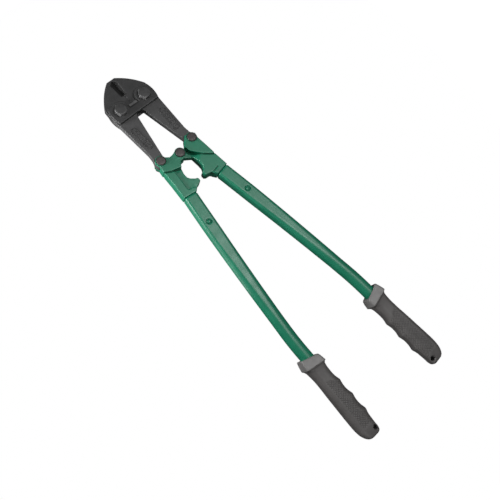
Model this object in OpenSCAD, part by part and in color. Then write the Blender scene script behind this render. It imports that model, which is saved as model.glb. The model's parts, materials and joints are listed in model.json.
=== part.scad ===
// Bolt cutters, 24 inch class: two compound-lever jaws held between two plates,
// driven by two riveted tube handles with moulded grips. Jaws closed.
// X is across the handles, +Y points to the jaw tip and +Z to the bolt heads.

/* [Layout] */
// Half the distance between the two jaw bolts
bolt_x = 22; // [21:0.5:24]
// Jaw tip, ahead of the line through the jaw bolts
tip_y = 48; // [44:1:54]
// Grip end, behind the line through the jaw bolts
grip_end_y = 572; // [560:1:590]
// Half the distance between the two tail pins
tail_x = 29.8; // [29:0.1:31]
// Tail pins, behind the line through the jaw bolts
tail_y = 92.5; // [90:0.5:95]
// Centre pin, behind the line through the jaw bolts
centre_y = 100; // [99:0.5:102]

/* [Jaws and plates] */
// Thickness of the forged jaws
jaw_t = 9.6; // [8:0.2:12]
// Half width of the flat at the jaw tip
tip_half_w = 6.9; // [5:0.1:9]
// Half width of the V between the cutting bevels
bevel_w = 5.6; // [4:0.1:6.5]
// Rear end of the cutting bevels, ahead of the bolt line
bevel_end_y = 18.3; // [14:0.1:24]
// Length of the blunt nose ahead of the cutting bevels
bevel_stop = 4; // [3:0.5:8]
// Radius of the jaw's eye at the tail pin
tail_eye_r = 8.6; // [8:0.1:8.8]
// Thickness of each side plate
plate_t = 4.9; // [4:0.1:6]
// Rear edge of the plates, behind the bolt line
plate_rear_y = 14.8; // [13:0.1:16]
// Running gap between the jaws and the plates
side_gap = 0.05; // [0.02:0.01:0.1]

/* [Fasteners] */
// Jaw bolt shank radius
bolt_r = 5; // [4.5:0.1:5.5]
// Width across flats of the jaw bolt's head and nut
bolt_af = 17; // [16:0.5:18]
// Radius of the tail pins and the centre pin
pin_r = 4; // [3.5:0.1:4.3]
// Radius of a pin's domed head
pin_head_r = 6.7; // [6:0.1:7]
// Width across flats of a pin's nut
pin_nut_af = 13; // [12:0.5:14]
// Radial clearance of a pin or bolt in its holes
fit_gap = 0.05; // [0.02:0.01:0.08]

/* [Handles] */
// Half thickness of the forged heads at their ears
ear_half_t = 10; // [9.5:0.1:10.5]
// Half thickness of the forged heads at the tubes
head_half_t = 9.4; // [9:0.1:9.5]
// Radius of an ear round its tail pin
ear_r = 9.2; // [8.8:0.1:9.3]
// Radius of the lobe round the centre pin
lobe_r = 8.3; // [8:0.1:8.6]
// Tube radius at the grips
tube_r = 9.9; // [9:0.1:10.2]
// Tube wall thickness
tube_wall = 1.8; // [1.2:0.1:2]
// Front end of the tubes, behind the bolt line
tube_front_y = 158; // [156:0.5:160]
// Rear end of the tubes, hidden in the grips
tube_rear_y = 546; // [530:1:550]
// Rivets through tube and head shank, behind the bolt line
rivet_y = 201.9; // [190:0.1:208]
// Front edge of the grips' guards, behind the bolt line
grip_front_y = 430; // [425:1:435]
// How far the inner side of a grip's guard is set back
guard_lean = 7.5; // [0:0.5:8]
// Hanging hole radius
hang_r = 3.4; // [2.5:0.1:3.6]

/* [Hidden] */
$fn = 64;
eps = 0.01;
jaw_half = jaw_t / 2;
plate_in = jaw_half + side_gap;
plate_out = plate_in + plate_t;
slot_half = jaw_half + 0.1;
bolt_head_top = plate_out + 7.5;
washer_t = 1.5;
jaw_nut_h = 6.5;
bolt_end = plate_out + washer_t + jaw_nut_h + 0.8;
pin_nut_h = 6.2;
pin_end = ear_half_t + pin_nut_h + 1;
origin_shift = [0, (grip_end_y - tip_y) / 2, bolt_end];
tail = [tail_x, -tail_y];
centre = [0, -centre_y];
blade_gap = 0.05;
hang = [66.2, -562.6];

steel_dark = [0.16, 0.16, 0.17];
steel_arm = [0.23, 0.23, 0.24];
steel_pin = [0.28, 0.25, 0.25];
green = [0.07, 0.34, 0.24];
grip_grey = [0.3, 0.3, 0.3];

// ---- outlines ----
function arc(c, r, a0, a1, n = 12) =
    [for (i = [0:n]) let (a = a0 + (a1 - a0) * i / n) c + r * [cos(a), sin(a)]];
// a shallow curve from p to q that stands s to the left of the chord
function bow(p, q, s, n = 10) =
    let (d = q - p, m = [-d.y, d.x] / norm(d))
    [for (i = [0:n]) let (t = i / n) p + t * d + 4 * s * t * (1 - t) * m];

jaw_outline = concat(
    [[blade_gap, tip_y]],
    bow([tip_half_w, tip_y], [37.6, 16.2], 2.7),
    bow([37.6, 16.2], [37.2, -17], 0.9),
    [[34.4, -73], [35.5, -82], [38.2, -90], [21.3, -90], [6.6, -18], [2.9, -11], [blade_gap, 1]]);
plate_half = concat(
    [[0, -plate_rear_y]],
    bow([35.6, -plate_rear_y], [35.4, 13.4], -2.6),
    arc([bolt_x, 0], 15.5, 62, 172),
    [[0, 2.2]]);

// the head's rear corners, on the face that the tube's front end meets
slope_0 = 0.1638;
tube_front = [31.6, -tube_front_y];
tube_front_w = 10.4;
function tube_seat(side) =
    tube_front + side * tube_front_w * [cos(atan(slope_0)), sin(atan(slope_0))] + [0, fit_gap];
function flip_x(p) = [-p.x, p.y];

// right head: ears at the tail pin, a tongue at the centre pin, and a stop
right_ear_outline = [
    [38.6, -90], [23.5, -84], [20.5, -87], [13.4, -95], [8, -97.5], [8, -104], [17.7, -112],
    [27.7, -122.4], [37, -129.8], [39.4, -129.8], [38, -111], [36.6, -98]];
right_body_outline = [
    [36.4, -102], [38, -111], [39.4, -129.8], tube_seat(1), tube_seat(-1), [15.2, -149.7],
    [8, -148.8], [5.3, -146.5], [5.3, -141.6], [11, -138.4], [13, -133], [13, -126],
    [10.7, -114.9], [9.8, -110], [13, -104], [20, -98]];
tongue_outline = [[1.5, -92.8], [12, -97], [24, -103], [24, -126], [10.9, -115.5], [-2, -107]];

// left head: the same outline, but forked over the right head's tongue
left_ear_outline = concat(
    [[-38.6, -90], [-36.6, -98], [-38, -107.6], [-28, -112.9], [-12.9, -117.4], [-10.5, -112.6],
     [-7, -109.6], [1, -110]],
    arc(centre, lobe_r, -70, 130, 14),
    [[-10.8, -95.4], [-16.2, -95.6], [-21.7, -91.6], [-24, -86]]);
left_body_outline = [
    [-36.4, -102], [-38, -111], [-39.4, -129.8], flip_x(tube_seat(1)), flip_x(tube_seat(-1)),
    [-14.7, -152.3],
    [-8.2, -150.7], [-5, -148], [-5, -143.3], [-8.5, -142.6], [-14.6, -137.6], [-17, -133.5],
    [-17, -126.6], [-15, -120.4], [-11, -112], [-11, -98]];

// ---- handle path: leaves the head at a slope, bows slowly, then turns in to the grip ----
slope_loss = 0.00017;
turn_start = 385;
turn_end = 425;
grip_slope = 0.045;
slope_turn = slope_0 - slope_loss * (turn_start - tube_front_y);
function slope_at(d) = d < turn_start
    ? slope_0 - slope_loss * (d - tube_front_y)
    : d < turn_end
        ? slope_turn + (grip_slope - slope_turn) * (d - turn_start) / (turn_end - turn_start)
        : grip_slope;
x_turn = tube_front.x + (slope_0 + slope_turn) / 2 * (turn_start - tube_front_y);
x_grip = x_turn + (slope_turn + grip_slope) / 2 * (turn_end - turn_start);
function x_at(d) = d < turn_start
    ? tube_front.x + (slope_0 + slope_at(d)) / 2 * (d - tube_front_y)
    : d < turn_end
        ? x_turn + (slope_turn + slope_at(d)) / 2 * (d - turn_start)
        : x_grip + grip_slope * (d - turn_end);

// ---- sweeps ----
corner_steps = 5;
// rounded rectangle with half sizes w and h and corner radius r
function section(w, h, r) =
    [for (q = [0:3]) for (k = [0:corner_steps]) let (a = 90 * (q + k / corner_steps))
        [(q == 0 || q == 3 ? 1 : -1) * (w - r) + r * cos(a),
         (q < 2 ? 1 : -1) * (h - r) + r * sin(a)]];
// the section at distance d behind the bolt line, moved sideways by off, and set back by
// nothing at p.x = half_w and by all of back at p.x = -half_w
function ring(d, w, h, r, off = 0, back = 0, half_w = 1) =
    let (a = atan(slope_at(d)), c = [x_at(d) + off * cos(a), -d + off * sin(a)])
    [for (p = section(w, h, r)) let (b = back * (0.5 - p.x / half_w / 2))
        [c.x + p.x * cos(a) + slope_at(d) * b, c.y + p.x * sin(a) - b, p.y]];
// triangles between ring i and ring i + 1 of n points; flip turns them inwards
function wall(n, i, j0, flip = false) = [for (j = [0:n - 1])
    let (k = (j + 1) % n, a = i + j, b = i + k, c = j0 + k, d = j0 + j)
    each flip ? [[a, c, b], [a, d, c]] : [[a, b, c], [a, c, d]]];
// a closed sleeve from its outer and inner rings, which is open at its rear end or blind there
module sleeve(outer, inner, blind) {
    n = len(outer[0]);
    m = n * len(outer);
    outer_end = m - n;
    inner_end = m + n * (len(inner) - 1);
    polyhedron(
        points = [for (r = concat(outer, inner)) for (p = r) p],
        faces = concat(
            [for (i = [0:len(outer) - 2]) each wall(n, i * n, (i + 1) * n)],
            [for (i = [0:len(inner) - 2]) each wall(n, m + i * n, m + (i + 1) * n, true)],
            wall(n, 0, m, true),
            blind
                ? [[for (j = [0:n - 1]) outer_end + j], [for (j = [n - 1:-1:0]) inner_end + j]]
                : wall(n, outer_end, inner_end)),
        convexity = 6);
}
function mix(a, b, t) = a + (b - a) * min(max(t, 0), 1);
// flat-sided near the head, round towards the grip
function tube_w(d) = mix(tube_front_w, tube_r, (d - 200) / 180);
function tube_h(d) = mix(head_half_t, tube_r, (d - 200) / 180);
function tube_corner(d) = mix(5.2, tube_r - 0.1, (d - 220) / 140);
tube_stations = concat([tube_front_y, 180], [for (d = [205:25:380]) d], [for (d = [390:10:430]) d]);
// the tube's sections; the first may lean with the guard
function tube_rings(grow, from, to, back = 0) =
    let (inner = [for (d = tube_stations) if (d > from + 2 && d < to - 2) d])
    [for (d = concat([from], inner, [to]))
        ring(d, tube_w(d) + grow, tube_h(d) + grow, tube_corner(d) + grow, 0,
             d == from ? back : 0, grip_stations[0][1])];

// grip stations: distance behind the guard's front edge, half width, half thickness, side offset
grip_stations = [
    [0, 12.6, 10.9, 0.2], [1, 13.4, 11.6, 0.2], [14, 15.7, 14.5, 0.5], [15, 15.7, 14.5, 0.5],
    [17, 14.8, 12.5, 0.5], [21, 14.2, 11.9, 0.5], [27, 13.5, 11.6, 0.5], [36, 13.1, 11.5, 0.4],
    [48, 13.2, 11.6, 0.5], [62, 13.8, 12, 0.6], [84, 14.4, 12.1, 0.8], [104, 15, 12.1, 1.1],
    [117, 14.9, 11.7, 1.4], [127, 14.2, 11, 1.2], [134, 13, 10, 0.1], [138.5, 11.4, 8.4, -0.8],
    [141.2, 8.4, 5.7, -1.8], [142, 4.6, 2.5, -2.5]];
ridge_at = [54, 79.5, 106];
ridge_h = 2.2;
ridge_w = 6;
function ridge(s) = ridge_h * max([for (r = ridge_at) exp(-pow(abs(s - r) / ridge_w, 1.6))]);
// linear reading of column c of the station table at s
function station(s, c, i = 0) =
    let (a = grip_stations[i], b = grip_stations[i + 1])
    s <= b[0] || i == len(grip_stations) - 2
        ? mix(a[c], b[c], (s - a[0]) / (b[0] - a[0]))
        : station(s, c, i + 1);
grip_steps = concat([0, 1, 7, 14, 15, 17, 19, 21, 24, 27, 31, 36, 42],
                    [for (s = [48:4:116]) s], [120, 124, 127, 131, 134, 136.5, 138.5, 140, 141.2, 142]);
grip_l = grip_end_y - grip_front_y;
function grip_ring(s) =
    let (w = station(s, 1), h = station(s, 2), e = s > 117 ? 0 : ridge(s) / 2)
    let (corner = mix(0.24, 0.78, (s - 14.5) / 5) * min(w, h))
    ring(grip_front_y + s * grip_l / 142, w + e, h, corner, station(s, 3) - e,
         guard_lean * mix(1, 0.73, s / 15) * mix(1, 0, (s - 15) / 24), w + e);

// ---- shared pieces ----
module place() translate(origin_shift) children();
module slab(outline, z0, z1) translate([0, 0, z0]) linear_extrude(z1 - z0) polygon(outline);
module bore(p, r, z0 = -20, z1 = 20) translate([p.x, p.y, z0]) cylinder(r = r, h = z1 - z0);
module hex(p, af, z0, z1, turn = 0)
    translate([p.x, p.y, z0]) rotate(turn) cylinder(r = af / 2 / cos(30), h = z1 - z0, $fn = 6);
// a cone that trims the corners of a hexagon at the end z, which faces dir
module corner_trim(p, af, z, dir)
    translate([p.x, p.y, z]) mirror([0, 0, dir > 0 ? 0 : 1])
        translate([0, 0, -20]) cylinder(r1 = af / 2 * 0.93 + 20 * 1.7, r2 = af / 2 * 0.93, h = 20);

// ---- plates, jaws and their bolts ----
module plate() difference() {
    union() {
        slab(plate_half, plate_in, plate_out);
        mirror([1, 0, 0]) slab(plate_half, plate_in, plate_out);
    }
    for (s = [-1, 1]) bore([s * bolt_x, 0], bolt_r + fit_gap);
}
module front_plate() color(steel_dark) place() plate();
module rear_plate() color(steel_dark) place() mirror([0, 0, 1]) plate();

// removes one cutting bevel of the right jaw, above the mid-plane
module bevel_cut() translate([0, tip_y - bevel_stop, 0]) rotate([90, 0, 0])
    linear_extrude(tip_y - bevel_stop - bevel_end_y)
        polygon([[-1, 0.2], [blade_gap, 0.2], [blade_gap + bevel_w, jaw_half + eps],
                 [blade_gap + bevel_w, jaw_half + 1], [-1, jaw_half + 1]]);
label_l = 30;
label_w = 10;
label_rim = 1.3;
module stadium(l, w, h) {
    translate([-w / 2, -l / 2, 0]) cube([w, l, h]);
    for (s = [-1, 1]) translate([0, s * l / 2, 0]) cylinder(d = w, h = h);
}
module label() translate([26.2, -48.5, jaw_half - eps]) rotate(-2.3) {
    difference() {
        stadium(label_l - 1, label_w, 1.1);
        translate([0, 0, -1]) stadium(label_l - 1, label_w - 2 * label_rim, 3);
    }
    for (i = [-2:2]) translate([-1.7, i * 6.3 - 1.6, 0]) cube([3.4, 3.2, 0.6]);
}
module jaw() {
    difference() {
        union() {
            slab(jaw_outline, -jaw_half, jaw_half);
            bore(tail, tail_eye_r, -jaw_half, jaw_half);
        }
        bore([bolt_x, 0], bolt_r + fit_gap);
        bore(tail, pin_r + fit_gap);
        bevel_cut();
        mirror([0, 0, 1]) bevel_cut();
    }
    label();
}
module right_jaw() color(steel_arm) place() jaw();
module left_jaw() color(steel_arm) place() mirror([1, 0, 0]) jaw();

module jaw_bolt(s) place() {
    p = [s * bolt_x, 0];
    bore(p, bolt_r, -bolt_end, plate_out + eps);
    bore(p, bolt_af / 2 - 0.3, plate_out, plate_out + 0.6);
    intersection() {
        hex(p, bolt_af, plate_out + 0.6 - eps, bolt_head_top, s > 0 ? 0 : -14);
        corner_trim(p, bolt_af, bolt_head_top, 1);
    }
}
module left_jaw_bolt() color(steel_dark) jaw_bolt(-1);
module right_jaw_bolt() color(steel_dark) jaw_bolt(1);
module jaw_washer(s) place() difference() {
    bore([s * bolt_x, 0], 10, -plate_out - washer_t, -plate_out);
    bore([s * bolt_x, 0], bolt_r + 0.25);
}
module left_jaw_washer() color(steel_pin) jaw_washer(-1);
module right_jaw_washer() color(steel_pin) jaw_washer(1);
module nut(p, af, r, z0, z1) place() difference() {
    intersection() {
        hex(p, af, z0, z1);
        corner_trim(p, af, z0, -1);
    }
    bore(p, r + 0.02);
}
module jaw_nut(s)
    nut([s * bolt_x, 0], bolt_af, bolt_r, -plate_out - washer_t - jaw_nut_h, -plate_out - washer_t);
module left_jaw_nut() color(steel_dark) jaw_nut(-1);
module right_jaw_nut() color(steel_dark) jaw_nut(1);

// ---- pins ----
dome_h = 2.5;
dome_rim = 0.7;
dome_R = (pow(pin_head_r, 2) + pow(dome_h - dome_rim, 2)) / 2 / (dome_h - dome_rim);
module pin(p) place() {
    bore(p, pin_r, -pin_end, ear_half_t + eps);
    intersection() {
        translate([p.x, p.y, ear_half_t + dome_h - dome_R]) sphere(r = dome_R);
        bore(p, pin_head_r, ear_half_t, ear_half_t + dome_h + 1);
    }
}
module left_tail_pin() color(steel_pin) pin([-tail.x, tail.y]);
module right_tail_pin() color(steel_pin) pin(tail);
module centre_pin() color(steel_pin) pin(centre);
module pin_nut(p) nut(p, pin_nut_af, pin_r, -ear_half_t - pin_nut_h, -ear_half_t);
module left_tail_nut() color(steel_dark) pin_nut([-tail.x, tail.y]);
module right_tail_nut() color(steel_dark) pin_nut(tail);
module centre_nut() color(steel_dark) pin_nut(centre);

// ---- handle heads ----
shank_l = 60;
shank_w = 15;
shank_t = 12.5;
// the shank that the tube slides over, for the right head
module shank() translate([tube_front.x, tube_front.y, 0]) rotate(atan(slope_0))
    translate([-shank_w / 2, -shank_l, -shank_t / 2]) cube([shank_w, shank_l + 2, shank_t]);
// room for the jaw's eye and for its arm as the handle swings out, for the right head
slot_r = tail_eye_r + 0.8;
swing = [4.5, -47];
function turned(v, a) = [v.x * cos(a) - v.y * sin(a), v.x * sin(a) + v.y * cos(a)];
slot_outline = concat(
    arc(tail, slot_r, 180 + swing[0], 360 + swing[1], 16),
    [tail + turned([slot_r, 30], swing[1]), tail + turned([0, 42], (swing[0] + swing[1]) / 2),
     tail + turned([-slot_r, 30], swing[0])]);
module jaw_slot() slab(slot_outline, -slot_half, slot_half);
panel_depth = 1.8;
// radius round the centre pin that each head keeps free for the other
fork_clear_r = 12.2;
module sunk_panel(outline) for (s = [-1, 1]) mirror([0, 0, s > 0 ? 0 : 1])
    slab(outline, head_half_t - panel_depth, 20);
module right_handle_head() color(green) place() {
    difference() {
        union() {
            slab(right_ear_outline, -ear_half_t, ear_half_t);
            bore(tail, ear_r, -ear_half_t, ear_half_t);
            slab(right_body_outline, -head_half_t, head_half_t);
            slab(tongue_outline, -jaw_half + 0.1, jaw_half - 0.1);
            bore(centre, lobe_r - 0.1, -jaw_half + 0.1, jaw_half - 0.1);
            shank();
        }
        jaw_slot();
        bore(tail, pin_r + fit_gap);
        // clears the left head's forked lobes
        bore(centre, fork_clear_r, jaw_half - 0.1, 20);
        bore(centre, fork_clear_r, -20, -jaw_half + 0.1);
        // open pivot: the centre pin wanders in this hole as the handles swing
        bore(centre, pin_r + 0.4);
        bore(centre + [1.9, -0.55], pin_r + 1.15);
        sunk_panel([[13.2, -112], [25, -124], [29.2, -128], [31, -149], [17, -151],
                    [0, -152], [0, -112]]);
        rivet_hole();
    }
}
module left_handle_head() color(green) place() {
    difference() {
        union() {
            slab(left_ear_outline, -ear_half_t, ear_half_t);
            bore([-tail.x, tail.y], ear_r, -ear_half_t, ear_half_t);
            slab(left_body_outline, -head_half_t, head_half_t);
            mirror([1, 0, 0]) shank();
        }
        mirror([1, 0, 0]) jaw_slot();
        bore([-tail.x, tail.y], pin_r + fit_gap);
        bore(centre, fork_clear_r, -slot_half, slot_half);
        bore(centre, pin_r + fit_gap);
        sunk_panel([[-25.5, -114], [-27.6, -131], [-29.4, -148], [-22.4, -150.8], [-17, -152.6],
                    [0, -152], [0, -118], [-12, -118]]);
        mirror([1, 0, 0]) rivet_hole();
    }
}

// ---- tubes, rivets and grips ----
rivet_r = 2.4;
rivet_head_r = 3.1;
rivet_p = [x_at(rivet_y), -rivet_y];
module rivet_hole() bore(rivet_p, rivet_r + fit_gap);
module tube() difference() {
    sleeve(tube_rings(0, tube_front_y, tube_rear_y),
           tube_rings(-tube_wall, tube_front_y, tube_rear_y), false);
    rivet_hole();
}
module right_tube() color(green) place() tube();
module left_tube() color(green) place() mirror([1, 0, 0]) tube();
module rivet() {
    face = tube_h(rivet_y);
    bore(rivet_p, rivet_r, -face - 0.4, face + 0.4);
    for (s = [0, 1]) mirror([0, 0, s]) intersection() {
        translate([rivet_p.x, rivet_p.y, face + 0.8 - 6.4]) sphere(r = 6.4);
        bore(rivet_p, rivet_head_r, face + 0.02, face + 3);
    }
}
module right_rivet() color(green) place() rivet();
module left_rivet() color(green) place() mirror([1, 0, 0]) rivet();
module grip() difference() {
    sleeve([for (s = grip_steps) grip_ring(s)],
           tube_rings(0.1, grip_front_y, tube_rear_y + 0.3, guard_lean), true);
    bore(hang, hang_r);
}
module right_grip() color(grip_grey) place() grip();
module left_grip() color(grip_grey) place() mirror([1, 0, 0]) grip();

front_plate();
rear_plate();
left_jaw();
right_jaw();
left_jaw_bolt();
right_jaw_bolt();
left_jaw_washer();
right_jaw_washer();
left_jaw_nut();
right_jaw_nut();
left_handle_head();
right_handle_head();
left_tail_pin();
right_tail_pin();
centre_pin();
left_tail_nut();
right_tail_nut();
centre_nut();
left_tube();
right_tube();
left_rivet();
right_rivet();
left_grip();
right_grip();
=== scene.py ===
import json
import math

import bpy
import numpy as np
import openvdb
from mathutils import Matrix, Vector


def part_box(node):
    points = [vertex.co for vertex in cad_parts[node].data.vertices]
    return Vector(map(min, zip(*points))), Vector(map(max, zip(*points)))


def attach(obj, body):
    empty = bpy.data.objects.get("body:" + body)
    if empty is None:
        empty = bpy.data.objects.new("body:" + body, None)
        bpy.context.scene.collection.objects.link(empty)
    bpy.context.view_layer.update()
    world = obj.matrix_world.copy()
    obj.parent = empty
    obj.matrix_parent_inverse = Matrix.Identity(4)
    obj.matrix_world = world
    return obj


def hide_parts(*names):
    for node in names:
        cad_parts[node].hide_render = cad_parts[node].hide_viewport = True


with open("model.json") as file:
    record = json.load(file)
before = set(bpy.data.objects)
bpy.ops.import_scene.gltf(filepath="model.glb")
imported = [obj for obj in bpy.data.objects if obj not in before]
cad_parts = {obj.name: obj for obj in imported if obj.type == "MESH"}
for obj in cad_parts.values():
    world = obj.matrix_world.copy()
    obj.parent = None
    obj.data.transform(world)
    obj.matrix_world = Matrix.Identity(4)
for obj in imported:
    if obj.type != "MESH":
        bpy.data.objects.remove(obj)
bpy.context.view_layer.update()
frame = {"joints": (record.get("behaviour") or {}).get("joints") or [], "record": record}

# ---- the design frame: millimetres, jaw bolts on y 0, mid-plane on z 0 ----
MM = 0.001
joints = {j["name"]: j for j in frame["joints"]}
body_of_node = {n: b for b, ns in frame["record"]["behaviour"]["bodies"].items() for n in ns}
jaw_bolt = Vector(joints["right_jaw_pivot"]["pos_m"])
tail_pin = Vector(joints["right_handle_pivot"]["pos_m"])
TO_SCENE = Matrix.Translation((0, jaw_bolt.y, jaw_bolt.z)) @ Matrix.Scale(MM, 4)
TO_DESIGN = TO_SCENE.inverted()


def design_box(node):
    """Lowest and highest corner of a CAD node in the design frame."""
    low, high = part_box(node)
    return TO_DESIGN @ low, TO_DESIGN @ high


# places and levels read from the frame; distances behind the bolt line are positive
BOLT = (jaw_bolt.x / MM, 0.0)
TAIL = tuple((TO_DESIGN @ tail_pin).xy)
CENTRE = tuple(((design_box("centre_nut")[0] + design_box("centre_nut")[1]) / 2).xy)
JAW_HALF = -design_box("left_jaw")[0].z
TIP_Y = design_box("left_jaw")[1].y
PLATE_IN = design_box("front_plate")[0].z
PLATE_OUT = design_box("front_plate")[1].z
PLATE_REAR = design_box("front_plate")[0].y
BOLT_TOP = design_box("left_jaw_bolt")[1].z
BOLT_END = design_box("left_jaw_bolt")[0].z
WASHER_END = design_box("left_jaw_washer")[0].z
JAW_NUT_END = design_box("left_jaw_nut")[0].z
EAR_HALF = design_box("left_handle_head")[1].z
PIN_TOP = design_box("centre_pin")[1].z
PIN_END = design_box("centre_pin")[0].z
PIN_NUT_END = design_box("centre_nut")[0].z
TUBE_FRONT = -design_box("left_tube")[1].y
GRIP_FRONT = -design_box("left_grip")[1].y
GRIP_END = -design_box("left_grip")[0].y - 0.4
TUBE_END = -design_box("right_tube")[0].y
RIVET_TOP = design_box("left_rivet")[1].z
RIVET_DISTANCE = -(design_box("right_rivet")[0].y + design_box("right_rivet")[1].y) / 2
hang_hole = next(m for m in frame["record"]["mounts"] if m["name"] == "right_hang_hole")
HANG = tuple((TO_DESIGN @ Vector(hang_hole["pos_m"])).xy)
HANG_R = hang_hole["dims"]["r_mm"]
# driving sizes that the frame's boxes don't give
HEAD_HALF = 9.4
TONGUE_HALF = 4.7
BOLT_R = 5.0
BOLT_FLATS = 17.0
PIN_R = 4.0
PIN_FLATS = 13.0
PIN_HEAD_R = 6.7
EYE_R = 8.3
EAR_R = 8.1
FORK_CLEAR_R = 12.2
BLADE_LAND = 0.45
BEVEL_START = 18.3


# ---- outlines ----
def arc(centre, radius, start, end, steps=14):
    """Points on a circle from one angle to another, in degrees."""
    angles = np.radians(np.linspace(start, end, steps + 1))
    return [(centre[0] + radius * math.cos(a), centre[1] + radius * math.sin(a)) for a in angles]


def bow(p, q, rise):
    """A shallow curve from p to q that stands out by rise to the left of the chord."""
    dx, dy = q[0] - p[0], q[1] - p[1]
    length = math.hypot(dx, dy)
    curve = []
    for t in np.linspace(0, 1, 13):
        out = 4 * rise * t * (1 - t) / length
        curve.append((p[0] + t * dx - out * dy, p[1] + t * dy + out * dx))
    return curve


def flip(points):
    """The outline mirrored to the other side."""
    return [(-x, y) for x, y in points]


# ---- fields: signed distances on a grid, negative inside ----
class Block:
    """A grid of points round a part, for adding and cutting shapes by their distance."""

    BEYOND = 14  # a level outside every part's faces

    def __init__(self, low, high, step):
        self.low, self.step = np.array(low, float), step
        axes = [np.arange(a, b, step) for a, b in zip(low, high)]
        self.x, self.y = np.meshgrid(axes[0], axes[1], indexing="ij")
        self.z = axes[2][None, None, :]
        self.field = np.full((*self.x.shape, len(axes[2])), 10.0)

    def outline(self, points):
        """Distance to a closed outline, seen from above."""
        nearest = np.full(self.x.shape, 1e9)
        inside = np.zeros(self.x.shape, bool)
        for (ax, ay), (bx, by) in zip(points, points[1:] + points[:1]):
            ex, ey = bx - ax, by - ay
            wx, wy = self.x - ax, self.y - ay
            t = np.clip((wx * ex + wy * ey) / max(ex * ex + ey * ey, 1e-9), 0, 1)
            nearest = np.minimum(nearest, (wx - t * ex) ** 2 + (wy - t * ey) ** 2)
            if ey:
                inside ^= ((ay > self.y) != (by > self.y)) & (self.x < ex * wy / ey + ax)
        return np.where(inside, -1, 1) * np.sqrt(nearest)

    def disc(self, centre, radius):
        """Distance to a circle, seen from above."""
        return np.hypot(self.x - centre[0], self.y - centre[1]) - radius

    def slab(self, flat, low, high, rim):
        """A flat shape between two levels with edges rounded to the radius rim."""
        mid, half = (np.asarray(low) + high) / 2, (np.asarray(high) - low) / 2
        if np.ndim(mid) == 2:
            mid, half = mid[:, :, None], half[:, :, None]
        side = flat[:, :, None] + rim
        level = np.abs(self.z - mid) - half + rim
        edge = np.hypot(np.maximum(side, 0), np.maximum(level, 0))
        return edge + np.minimum(np.maximum(side, level), 0) - rim

    def add(self, shape, fillet=0.01):
        """Joins a shape on, with a fillet where it meets what is there."""
        near = np.maximum(fillet - np.abs(self.field - shape), 0) / fillet
        self.field = np.minimum(self.field, shape) - near * near * fillet / 4

    def cut(self, shape, fillet=0.01):
        """Takes a shape away, with its rim rounded."""
        self.field = -self.field
        self.add(shape, fillet)
        self.field = -self.field

    def sink(self, flat, level, rim, fillet=0.01):
        """Cuts a flat shape into both faces, down to this level on each side of the mid-plane."""
        self.cut(self.slab(flat, -self.BEYOND, -level, rim), fillet)
        self.cut(self.slab(flat, level, self.BEYOND, rim), fillet)

    def mesh(self, name):
        """The surface where the field is zero."""
        band = 3 * self.step
        volume = openvdb.FloatGrid(band)
        volume.copyFromArray(np.clip(self.field, -band, band).astype(np.float32))
        points, quads = volume.convertToQuads(isovalue=0.0)
        return mesh_from(name, points * self.step + self.low, quads.tolist())


def smooth_step(low, high, value):
    t = np.clip((value - low) / (high - low), 0, 1)
    return t * t * (3 - 2 * t)


# ---- meshes ----
def mesh_from(name, points, faces):
    """A smooth-shaded mesh with its faces turned outwards, still in the design frame."""
    mesh = bpy.data.meshes.new(name)
    mesh.from_pydata([tuple(p) for p in points], [], faces)
    mesh.validate()
    corners = np.array([v.co for v in mesh.vertices])
    mesh.calc_loop_triangles()
    t = np.array([tri.vertices for tri in mesh.loop_triangles])
    volume = np.einsum("ij,ij->i", corners[t[:, 0]], np.cross(corners[t[:, 1]], corners[t[:, 2]])).sum()
    if volume < 0:
        mesh.flip_normals()
    mesh.shade_smooth()
    return mesh


def modified(mesh, kind, **values):
    """The mesh after a modifier of this kind with these values."""
    scratch = bpy.data.objects.new("scratch", mesh)
    bpy.context.scene.collection.objects.link(scratch)
    modifier = scratch.modifiers.new(kind.lower(), kind)
    for key, value in values.items():
        setattr(modifier, key, value)
    graph = bpy.context.evaluated_depsgraph_get()
    result = bpy.data.meshes.new_from_object(scratch.evaluated_get(graph), depsgraph=graph)
    result.name = mesh.name
    bpy.data.objects.remove(scratch)
    return result


def thinned(mesh, share):
    """The mesh with about this share of its faces, fewest where it is flat."""
    return modified(mesh, "DECIMATE", ratio=share)


SECTORS = 96


def turned(name, rings, centre, side=1, sectors=SECTORS):
    """A solid turned about Z. A ring's radius and level are numbers, or one number per sector."""
    angles = np.radians(np.arange(sectors) * 360 / sectors)
    points, faces = [], []
    for radius, level in rings:
        r, z = np.broadcast_to(radius, sectors), np.broadcast_to(level, sectors)
        x = side * (centre[0] + r * np.cos(angles))
        points += list(zip(x, centre[1] + r * np.sin(angles), z))
    for i in range(len(rings) - 1):
        for j in range(sectors):
            k = (j + 1) % sectors
            a, b = i * sectors, (i + 1) * sectors
            faces.append((a + j, a + k, b + k, b + j))
    last = (len(rings) - 1) * sectors
    faces.append(tuple(reversed(range(sectors))))
    faces.append(tuple(range(last, last + sectors)))
    mesh = mesh_from(name, points, faces)
    mesh.set_sharp_from_angle(angle=math.radians(32))
    return mesh


def hexagon(flats, turn=0):
    """Distance from the axis to a hexagon with slightly blunt corners, one number per sector."""
    angles = np.arange(SECTORS) * 360 / SECTORS - turn
    from_flat = (angles % 60) - 30
    radius = flats / 2 / np.cos(np.radians(from_flat))
    return np.minimum(radius, flats / 2 / math.cos(math.radians(30)) * 0.985)


def hex_end(flats, top, down, turn=0):
    """Rings over the chamfered end of a hexagon: its flat, its chamfer and its rim."""
    radius = hexagon(flats, turn)
    flat = flats / 2 * 0.93
    drop = (radius - flat) * math.tan(math.radians(30))
    return [(flat - 0.5, top), (flat - 0.15, top - 0.02 * down), (flat + 0.15, top - 0.12 * down),
            (radius - 0.25, top - down * np.maximum(drop - 0.1, 0.13)),
            (radius, top - down * (drop + 0.2))]


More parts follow.
